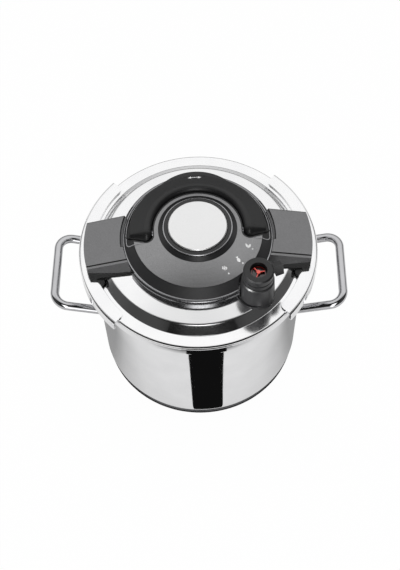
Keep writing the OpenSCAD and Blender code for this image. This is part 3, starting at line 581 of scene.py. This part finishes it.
# Heights above the dome of the cover's inner and outer edge, and how far it bulges between them
COVER_MID, COVER_EDGE, COVER_CROWN = 24.0, 17.6, 0.4
# The bail's top slopes down to its outer edge, which is rounded over
BAIL_OUT = cad_edge("bail_handle", 1, 0)
BAIL_EDGE_R = BAIL_OUT - 1.25
BAIL_EDGE_Z = DOME_Z + 21.24
BAIL_FALL = math.radians(22)


def cover_height(x, y):
    """A cone between two radii, raised between them by a parabola."""
    u = (np.hypot(x, y) - COVER_INNER) / (COVER_OUTER - COVER_INNER)
    return DOME_Z + COVER_MID - (COVER_MID - COVER_EDGE) * u + 4 * COVER_CROWN * u * (1 - u)


def bail_height(x, y):
    """A cone that falls outwards by the bail's slope."""
    return BAIL_EDGE_Z + (BAIL_EDGE_R - np.hypot(x, y)) * math.tan(BAIL_FALL)


print("cover at the fish's radius:", round(float(cover_height(54, 0)), 2), "mm")

# %% [markdown]
# ## Strips of ink
#
# A pad print leaves an even layer with sharp edges. A strip has its own top, sides and underside,
# so it is a closed piece: the top lies just above the surface, where it hides what is below it,
# and the underside lies just inside it, so that no gap shows at a low angle.


# %% Strips of ink
INK = 0.06
ACROSS = np.array([-1, -0.5, 0, 0.5, 1, 1, -1])
IS_TOP = np.array([1, 1, 1, 1, 1, 0, 0])


def ink_strip(name, body, path, half_width, height, material=None, thick=INK):
    """A closed strip along a path, in millimetres.

    Across the path the strip reaches half_width to each side. Five points lie one thickness
    above the surface and two lie as far below it. The first and last row are its end faces.
    """
    along = np.gradient(path, axis=0)
    along /= np.linalg.norm(along, axis=1, keepdims=True)
    sideways = np.stack([-along[:, 1], along[:, 0]], 1)
    flat = path[:, None] + sideways[:, None] * half_width[:, None, None] * ACROSS[None, :, None]
    level = height(flat[..., 0], flat[..., 1]) + thick * (2 * IS_TOP - 1)
    points = np.concatenate([flat, level[..., None]], -1) * MM
    made = mesh_piece(name, points, closed_faces(*level.shape), material or print_ink)
    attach(made, body)


def straight(centre, length, turn, count=25):
    """Points along a straight line through a centre, at a turn from the x axis."""
    s = np.linspace(-length / 2, length / 2, count)
    return np.stack([centre[0] + s * math.cos(turn), centre[1] + s * math.sin(turn)], 1)


def at(radius, degrees):
    """The place at a radius and a direction from the axis."""
    return radius * np.array([math.cos(math.radians(degrees)), math.sin(math.radians(degrees))])


print("ink stands", INK, "mm above its surface and is", len(ACROSS), "points round")

# %% [markdown]
# ## Marks beside the valve
#
# Each mark is a line with a width that swells and shrinks. A half wave of a sine, from point to
# point, is a leaf; the same with a wedge behind it is a fish; three lines that sway to and fro
# are steam; and a width that follows a circle is a dot. A font or a drawn outline could give
# finer pictures, but a width formula says plainly what each one is.

# %% Marks beside the valve
THIN = 0.03
t = np.linspace(0, 1, 25)
dot_width = THIN + 0.85 * np.sqrt(np.clip(1 - (2 * t - 1) ** 2, 0, 1))
for mark, degrees in (("leaf", -25.0), ("fish", -43.8), ("steam", -61.8)):
    ink_strip(f"dot_{mark}", "lid", straight(at(60.0, degrees), 1.7, 0), dot_width, cover_height)

leaf_width = THIN + 1.15 * np.sin(np.pi * t)
leaf_place = at(54.8, -24.2)
for i, (shift, turn) in enumerate((((-1.2, 0.4), 115), ((1.5, 0.2), 62))):
    path = straight(leaf_place + shift, 5.6, math.radians(turn))
    ink_strip(f"leaf_{i}", "lid", path, leaf_width, cover_height)

fish_body = 1.7 * np.sin(np.pi * np.clip(t / 0.8, 0, 1)) ** 0.8
fish_tail = 1.5 * np.clip((t - 0.66) / 0.34, 0, 1)
fish_path = straight(at(54.4, -44.1), 6.4, math.radians(118))
ink_strip("fish", "lid", fish_path, THIN + np.maximum(fish_body, fish_tail), cover_height)

steam_place = at(53.4, -62.6)
for i, shift in enumerate((-1.7, 0.0, 1.7)):
    path = straight(steam_place + (shift, 0), 5.0 - abs(shift), math.radians(90))
    path[:, 0] += 0.45 * np.sin(4 * np.pi * t)
    ink_strip(f"steam_{i}", "lid", path, THIN + 0.42 * np.sin(np.pi * t) ** 0.4, cover_height)
print("marks beside the valve: 3 dots, 2 leaves, 1 fish, 3 plumes")

# %% [markdown]
# ## Arrow on the bail
#
# The bail's grip tab has a double arrow. It is one strip along an arc round the lid's axis, whose
# width grows from each tip to the arrow head's end and is even between the two heads. The points
# stand closer together at the heads, where the width jumps.

# %% Arrow on the bail
ARROW_LENGTH = 14.5
ARROW_HEAD = 0.24
ARROW_R = 66.0
t = np.array([0, 0.08, 0.16, ARROW_HEAD, ARROW_HEAD + 0.01, 0.4, 0.5])
t = np.concatenate([t, 1 - t[-2::-1]])
from_tip = np.minimum(t, 1 - t)
arrow_width = np.where(from_tip <= ARROW_HEAD, THIN + 1.9 * from_tip / ARROW_HEAD, 0.5)
arrow_turns = np.radians(90) - (t - 0.5) * ARROW_LENGTH / ARROW_R
arrow_path = ARROW_R * np.stack([np.cos(arrow_turns), np.sin(arrow_turns)], 1)
ink_strip("bail_arrow", "bail", arrow_path, arrow_width, bail_height)
print("arrow:", ARROW_LENGTH, "mm long on the bail's tab")

# %% [markdown]
# ## Painted highlight round the bail's recess
#
# The housing has a low rounded bead along the outer edge of the recess, and its crest catches light
# as a thin bright line. The bead itself is in the CAD, and the line on it is a painted highlight. A
# second material on its faces would need the bead to be cut off from the housing, so the painted
# highlight is one more thin strip, which follows the bead down each side and round its front
# corners, and fades in width at both ends.

# %% Pale line
BEAD_R = BAIL_OUT + 3.55
BEAD_FRONT = 11.9
BEAD_CORNER = 4.5
BEAD_INNER_X = 52.0
LINE_HALF = 0.34
LINE_THICK = 0.05


def bead_height(x, y):
    """The bead's crest: straight lines between the cover's edge and the housing's outer edge."""
    radius = np.hypot(x, y)
    return DOME_Z + np.interp(radius, [COVER_INNER, COVER_OUTER, 76.0], [24.6, 18.2, 11.5])


def bead_side(sign):
    """An arc from the back to the hinge's axis, then down, round the corner and inwards."""
    swing = np.radians(np.linspace(62, 2, 50))
    corner = np.radians(np.linspace(0, -90, 10))
    arc_part = BEAD_R * np.stack([np.cos(swing), np.sin(swing)], 1)
    centre = np.array([BEAD_R - 0.4 - BEAD_CORNER, BEAD_CORNER - BEAD_FRONT])
    corner_part = centre + BEAD_CORNER * np.stack([np.cos(corner), np.sin(corner)], 1)
    inwards = np.stack([np.linspace(centre[0] - 1, BEAD_INNER_X, 12), np.full(12, -BEAD_FRONT)], 1)
    return np.concatenate([arc_part, corner_part, inwards]) * (sign, 1)


# Each strip is a painted highlight on the bead's crest
for name, sign in (("left", -1), ("right", 1)):
    path = bead_side(sign)
    step = np.arange(len(path))
    from_end = np.minimum(step, step[::-1])
    width = THIN + LINE_HALF * np.clip(from_end / 8, 0, 1)
    ink_strip(f"recess_line_{name}", "lid", path, width, bead_height, bead_highlight_paint, LINE_THICK)
print("bead at radius", round(BEAD_R, 2), "mm")

# %% [markdown]
# ## Safety spring
#
# The safety valve's plunger is held down by a small coil spring, wound from steel wire. The CAD's
# spring is rigid, and a rising plunger would cut into it. It is hidden, and a wire coil of the same
# size takes its place, rigid as well and carried with the lid. The coil turns faster than it climbs
# near both ends, as the closed end turns of a spring do.

# %% Safety spring
WIRE_R, COILS = 0.28, 3
RINGS, SIDES = 109, 8
low, high = (np.array(corner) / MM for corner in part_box("safety_spring"))
middle_x, middle_y = (low[:2] + high[:2]) / 2
coil_r = (high[0] - low[0]) / 2 - WIRE_R
free = high[2] - low[2]


def coil_grid(steps, sides):
    """A tube along a helix: a circle of the wire's radius in the plane of the axis and the radius.

    The height climbs evenly for six tenths and by a smooth step for the other four, which lays
    the first and last turns flatter.
    """
    share = np.linspace(0, 1, steps)[:, None]
    turn = 2 * np.pi * COILS * share
    wire = np.linspace(0, 2 * np.pi, sides, endpoint=False)[None, :]
    rise = WIRE_R + (free - 2 * WIRE_R) * (0.6 * share + 0.4 * share**2 * (3 - 2 * share))
    radius = coil_r + WIRE_R * np.cos(wire)
    points = [
        middle_x + radius * np.cos(turn),
        middle_y + radius * np.sin(turn),
        low[2] + rise + WIRE_R * np.sin(wire),
    ]
    return np.stack(np.broadcast_arrays(*points), -1)


coil_points = coil_grid(RINGS, SIDES) * MM
coil = mesh_piece("coil_spring", coil_points, closed_faces(RINGS, SIDES), turned_steel)
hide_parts("safety_spring")
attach(coil, "lid")
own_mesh(coil)
print("spring", round(float(free), 2), "mm free, coil radius", round(float(coil_r), 2))

# %% [markdown]
# ## Housing cheeks
#
# At each arm's inner end a raised grey edge of the housing stands between the arm and the round
# cover, and just behind the arm the housing's black edge runs on lower and rounder. The housing
# is cut back there for the arm's travel, so short curved cheeks on it close the view. Each could
# be a bevelled block bent to the curve, but a section carried round the axis, with its ends
# closed, needs no bending.


# %% Housing cheeks
CHEEK_IN = cad_edge("skirt_ring", 1, 0) - 0.05
CHEEK_OUT = cad_edge("skirt_ring", 1, 1)
CHEEK_FOOT = 4.6
CHEEK_STEPS = 24


def cheek(name, turn_0, turn_1, top, rounding, material):
    """A closed section of the housing's rounded edge, turned between two directions.

    The outer side stands straight up, then follows most of a quarter circle about a point one
    rounding radius inside the band's edge. The top is a height above the dome.
    """
    swing = np.radians(np.linspace(0, 72, 9))
    top_r = CHEEK_OUT - rounding + rounding * np.cos(swing)
    top_z = DOME_Z + top - rounding + rounding * np.sin(swing)
    radius = np.concatenate([[CHEEK_IN, CHEEK_OUT], top_r, [CHEEK_IN]])
    level = np.concatenate([np.full(2, DOME_Z + CHEEK_FOOT), top_z, top_z[-1:]])
    turns = np.radians(np.linspace(turn_0, turn_1, CHEEK_STEPS))[:, None]
    flat = [np.cos(turns) * radius, np.sin(turns) * radius]
    points = np.stack(np.broadcast_arrays(*flat, level), -1)
    made = mesh_piece(name, points * MM, closed_faces(CHEEK_STEPS, len(radius)), material)
    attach(made, "lid")


cheek("housing_cheek_right", -6.8, 19.8, 12.2, 2.2, edge_plastic)
cheek("housing_cheek_left", 160.2, 186.8, 12.2, 2.2, edge_plastic)
cheek("housing_edge_right", 19.8, 30.4, 10.6, 4.0, housing_plastic)
cheek("housing_edge_left", 149.6, 160.2, 10.6, 4.0, housing_plastic)
print("cheeks reach from", round(CHEEK_IN, 2), "to", CHEEK_OUT, "mm")

# %% [markdown]
# ## Floor
#
# The cooker stands on a plain white floor. Polished steel mirrors it, so the floor is also the
# pot's main light. Reflections see a glow with painted shade in it, as a lit table would be shaded
# by the pot: rays that leave the pot's flanks run sideways and land near the line Y = 0, so a glow
# painted dimmer there rounds the pot towards its two sides. Right at the foot the glow fades out, a
# painted shadow that draws the dark line between pot and table. Paper and lamps could give this
# too, but then every lamp would have to be tuned at once.

# %% Floor in mirrors
FLOOR_SIZE = 6.0
floor_paint, tree = new_material("white_studio_floor")
place = add(tree, "TexCoord").outputs["Object"]
fore_aft = add(tree, "SeparateXYZ", {"Vector": place}).outputs["Y"]
from_middle = add(tree, "Math", {0: fore_aft}, operation="ABSOLUTE").outputs["Value"]
from_axis = add(tree, "VectorMath", {0: place}, operation="LENGTH").outputs["Value"]
# Painted shade: light against the distance from the line Y = 0, in metres
painted_shade_light = add(
    tree,
    "ValToRGB",
    {"Fac": from_middle},
    [
        (0.0, light(0.30)),
        (0.03, light(0.33)),
        (0.046, light(0.44)),
        (0.06, light(0.57)),
        (0.096, light(0.78)),
        (0.13, light(0.87)),
    ],
)
# Painted shadow at the pot's foot: the glow fades out inside these radii, in metres
painted_foot_shadow = add(
    tree,
    "MapRange",
    {"Value": from_axis, "From Min": 0.1125, "From Max": 0.1145},
    interpolation_type="SMOOTHSTEP",
)
open_floor = add(
    tree,
    "MapRange",
    {"Value": from_axis, "From Min": 0.155, "From Max": 0.2},
    interpolation_type="SMOOTHSTEP",
)
# Painted shade near the pot, the plain glow beyond 0.2 m
glow_with_painted_shade = add(
    tree,
    "Mix",
    {0: open_floor.outputs["Result"], 6: painted_shade_light.outputs["Color"], 7: light(0.87)},
    data_type="RGBA",
)
print("the floor's light in mirrors:", len(tree.nodes), "nodes")

# %% [markdown]
# ## Dark ring on the floor
#
# Just below the rim a polished pot mirrors the shade under the lid's edge, as a thin dark line
# round its front. The rays that show it land on the floor a good 200 mm from the axis, so a ring of
# painted shade there draws the line. A line painted on the pot would stay put as the camera moves.
# The ring keeps to the front, so that the pot seen from the side or from behind stays clean.

# %% Ring and floor
# Painted shade against the distance from the axis, in metres
painted_shade_ring = add(
    tree,
    "ValToRGB",
    {"Fac": from_axis},
    [(0.204, light(0)), (0.208, light(0.92)), (0.222, light(0.92)), (0.227, light(0))],
)
in_front = add(
    tree,
    "MapRange",
    {"Value": fore_aft, "From Min": -0.02, "From Max": -0.08},
    interpolation_type="SMOOTHSTEP",
)
ring_share = add(
    tree,
    "Math",
    {0: painted_shade_ring.outputs["Color"], 1: in_front.outputs["Result"]},
    operation="MULTIPLY",
)
strength = add(
    tree,
    "Math",
    {0: painted_foot_shadow.outputs["Result"], 1: ring_share.outputs["Value"]},
    operation="SUBTRACT",
)
mirror_glow = add(
    tree,
    "Emission",
    {"Color": glow_with_painted_shade.outputs[2], "Strength": strength.outputs["Value"]},
)
# A little plain white floor stays in both mixes, so that it keeps the cooker's shadow
plain = add(tree, "BsdfDiffuse", {"Color": light(0.88)})
seen_glow = add(tree, "Emission", {"Color": light(1.0), "Strength": 1.0})
seen = add(tree, "MixShader", {"Fac": 0.98, 1: plain.outputs[0], 2: seen_glow.outputs[0]})
mirrored = add(tree, "MixShader", {"Fac": 0.92, 1: plain.outputs[0], 2: mirror_glow.outputs[0]})
light_path = add(tree, "LightPath")
near = add(
    tree,
    "MixShader",
    {"Fac": light_path.outputs["Is Glossy Ray"], 1: plain.outputs[0], 2: mirrored.outputs[0]},
)
shown = add(
    tree,
    "MixShader",
    {"Fac": light_path.outputs["Is Camera Ray"], 1: near.outputs[0], 2: seen.outputs[0]},
)
add(tree, "OutputMaterial", {"Surface": shown.outputs[0]})
half = FLOOR_SIZE / 2
corners = [(-half, -half, 0), (half, -half, 0), (half, half, 0), (-half, half, 0)]
floor = mesh_piece("floor", corners, [(0, 1, 2, 3)], floor_paint)
print("floor is", FLOOR_SIZE, "m wide")

# %% [markdown]
# ## Black card
#
# A studio has a gap between two white screens in front of the object, and the polished wall
# shows it as one dark upright stripe. A black card lies on the floor there. A straight card would
# show bent edges in a round wall, so this card's edge is worked out backwards: it is where rays
# land that leave the wall along the stripe. It is seen only in reflections.

# %% Black card
# Metres and angles of the stripe on the wall; the rays fall by 1 m in CARD_FALL metres
WALL_R = 0.112
CARD_MIDDLE = math.radians(1.7)
CARD_HALF = math.radians(8.8)
CARD_WIDENING = math.radians(9.0)
CARD_FALL = 0.593
CORNER_R = 0.012
CARD_FOOT = 0.004


def card_grid(across, heights):
    """Where a ray lands that leaves the wall at a turn and a height.

    The wall's point is WALL_R * (sin t, -cos t). The ray leaves towards (sin 2t, -cos 2t) and
    falls at a fixed slope, so it lands slope * height away. The stripe widens with height, and
    near the foot it narrows by a quarter circle, which rounds its corners.
    """
    below = np.clip(1 - (heights - CARD_FOOT) / CORNER_R, 0, 1)
    narrowing = CORNER_R * (1 - np.sqrt(1 - below**2)) / WALL_R
    h = heights[:, None]
    t = CARD_MIDDLE + across[None, :] * (CARD_HALF + CARD_WIDENING * h - narrowing[:, None])
    x = WALL_R * np.sin(t) + CARD_FALL * h * np.sin(2 * t)
    y = -WALL_R * np.cos(t) - CARD_FALL * h * np.cos(2 * t)
    return np.stack([x, y, np.full_like(x, 0.0008)], -1)


def black_card(name, points):
    """A grid of points painted black, that only mirrors see and that throws no shadow."""
    made = mesh_piece(name, points, grid_faces(*points.shape[:2]), card_paint)
    made.visible_camera = False
    made.visible_diffuse = False
    made.visible_shadow = False


foot_heights = CARD_FOOT + CORNER_R * (1 - np.cos(np.linspace(0, np.pi / 2, 8)))
card_heights = np.concatenate([foot_heights, [0.05, 0.1, 0.2, 0.4]])
card_points = card_grid(np.linspace(-1, 1, 12), card_heights)
card_paint, tree = new_material("black_card")
add(tree, "OutputMaterial", {"Surface": add(tree, "Emission", {"Color": light(0.006)}).outputs[0]})
black_card("black_card", card_points)
print("card reaches", round(float(-card_points[..., 1].min()), 2), "m to the front")

# %% [markdown]
# ## Card before the lid
#
# The lid's front step faces the camera's side of the room and would mirror the bright window
# there as a white band. A second card stands in front of the step: a low wall bent round the
# axis, at the height of the step and a little above it. The flat flange and the dome look over
# it and stay bright.

# %% Card before the lid
LID_CARD_R = 150.0
LID_CARD_FOOT, LID_CARD_TOP = 182.0, 244.0
fan = np.radians(np.linspace(-24, 24, 25))[:, None]
wall = [LID_CARD_R * np.sin(fan), -LID_CARD_R * np.cos(fan), [[LID_CARD_FOOT, LID_CARD_TOP]]]
black_card("lid_card", np.stack(np.broadcast_arrays(*wall), -1) * MM)
print("the lid's card stands", LID_CARD_TOP - LID_CARD_FOOT, "mm high")

# %% [markdown]
# ## Room
#
# Above and behind, the room is bright. It darkens towards the horizon, which draws a dark line
# along every rounded edge, and in front of the lid, on the camera's side, there is a dark gap
# between the white screens. A picture of a room could light the scene, but a direction and a few
# ramps say the same and can be read. Low down the gap reaches a little past the middle, and
# higher up it keeps to the front, so that the lid's flat flange mirrors only bright room.

# %% Room and its dark gap
world = bpy.data.worlds.new("room")
world.use_nodes = True
bpy.context.scene.world = world
tree = world.node_tree
tree.nodes.clear()
direction = add(tree, "SeparateXYZ", {"Vector": add(tree, "TexCoord").outputs["Generated"]})
# Light against the height of the direction, from 0 at the horizon to 1 straight up
open_room = add(
    tree,
    "ValToRGB",
    {"Fac": direction.outputs["Z"]},
    [
        (0.0, light(0.02)),
        (0.14, light(0.05)),
        (0.24, light(0.55)),
        (0.50, light(0.85)),
        (0.62, light(1.0)),
        (0.90, light(1.08)),
        (0.97, light(0.84)),
        (1.0, light(0.72)),
    ],
)
dark_gap = add(
    tree,
    "ValToRGB",
    {"Fac": direction.outputs["Z"]},
    [(0.0, light(0.05)), (0.42, light(0.05)), (0.50, light(0.015)), (1.0, light(0.015))],
)
below_top = add(tree, "Math", {0: 1.0, 1: direction.outputs["Z"]}, operation="SUBTRACT")
shift = add(
    tree,
    "Math",
    {0: below_top.outputs["Value"], 1: -0.35, 2: direction.outputs["Y"]},
    operation="MULTIPLY_ADD",
)
forward = add(
    tree,
    "MapRange",
    {"Value": shift.outputs["Value"], "From Min": 0.10, "From Max": -0.14},
    interpolation_type="SMOOTHSTEP",
)
aside = add(tree, "Math", {0: direction.outputs["X"]}, operation="ABSOLUTE")
middle = add(
    tree,
    "MapRange",
    {"Value": aside.outputs["Value"], "From Min": 0.6, "From Max": 0.3, "To Min": 0.95},
    interpolation_type="SMOOTHSTEP",
)
in_gap = add(
    tree,
    "Math",
    {0: forward.outputs["Result"], 1: middle.outputs["Result"]},
    operation="MULTIPLY",
)
room_light = add(
    tree,
    "Mix",
    {0: in_gap.outputs["Value"], 6: open_room.outputs["Color"], 7: dark_gap.outputs["Color"]},
    data_type="RGBA",
)
print("room so far:", len(tree.nodes), "nodes")

# %% [markdown]
# ## Window in front
#
# Straight ahead of the cooker the room has a tall narrow window, two to three times as bright as
# the screens. The brushed band mirrors it as an upright streak that fades to both sides. A lamp
# would do the same, but it would also light the matt plastics. What the camera itself sees of
# the room is plain white.

# %% Window and world
# Light against height once more: the window ends short of straight up
window_height = add(
    tree,
    "ValToRGB",
    {"Fac": direction.outputs["Z"]},
    [(0.0, light(2.6)), (0.80, light(3.4)), (0.86, light(0))],
)
window_width = add(
    tree,
    "MapRange",
    {"Value": aside.outputs["Value"], "From Min": 0.26, "From Max": 0.06},
    interpolation_type="SMOOTHSTEP",
)
ahead = add(tree, "Math", {0: direction.outputs["Y"], 1: -0.3}, operation="LESS_THAN")
window_ahead = add(
    tree,
    "Math",
    {0: window_width.outputs["Result"], 1: ahead.outputs["Value"]},
    operation="MULTIPLY",
)
with_window = add(
    tree,
    "Mix",
    {0: window_ahead.outputs["Value"], 6: room_light.outputs[2], 7: window_height.outputs["Color"]},
    data_type="RGBA",
    blend_type="ADD",
)
lit = add(tree, "Background", {"Color": with_window.outputs[2], "Strength": 1.0})
white = add(tree, "Background", {"Color": light(1.0), "Strength": 1.0})
is_seen = add(tree, "LightPath").outputs["Is Camera Ray"]
both = add(tree, "MixShader", {"Fac": is_seen, 1: lit.outputs[0], 2: white.outputs[0]})
add(tree, "OutputWorld", {"Surface": both.outputs[0]})
print("room with its window:", len(tree.nodes), "nodes")

# %% [markdown]
# ## Lamps
#
# Three soft square lamps finish the light. A small one stands low at the left front and gives the
# valve its narrow bright streaks. Light linking keeps it to the valve's pieces, because the steel
# would mirror it as a stray square. Two larger ones, in front and overhead, fill the matt
# surfaces; they are left out of mirrors, where they would only be more white patches.


# %% Lamps
def lamp(name, place, aim, size, power, in_mirrors):
    """A square soft lamp that looks from its place to its aim."""
    data = bpy.data.lights.new(name, "AREA")
    data.shape = "SQUARE"
    data.size = size
    data.energy = power
    made = bpy.data.objects.new(name, data)
    back = unit(np.subtract(place, aim))
    side = unit(np.cross((0, 1, 0.2), back))
    made.matrix_world = placed(side, np.cross(back, side), back, place)
    made.visible_glossy = in_mirrors
    bpy.context.scene.collection.objects.link(made)
    return made


streak_lamp = lamp("streak_lamp", (-0.68, -0.70, 0.19), (0.05, -0.03, 0.21), 0.16, 26.0, True)
lit_by_streak = bpy.data.collections.new("lit_by_streak")
for name in ("valve_base", "valve_knob", "pressure_indicator"):
    lit_by_streak.objects.link(nodes[name])
streak_lamp.light_linking.receiver_collection = lit_by_streak
lamp("front_lamp", (-0.25, -1.25, 0.95), (0, 0, 0.18), 0.5, 5.0, False)
lamp("top_lamp", (0.1, 0.3, 1.8), (0, 0, 0.15), 1.2, 8.0, False)

# %% [markdown]
# ## Colour view
#
# The picture is shown with plain screen colours, so the Standard view is set.

# %% Colour view
bpy.context.scene.view_settings.view_transform = "Standard"
bpy.context.view_layer.update()
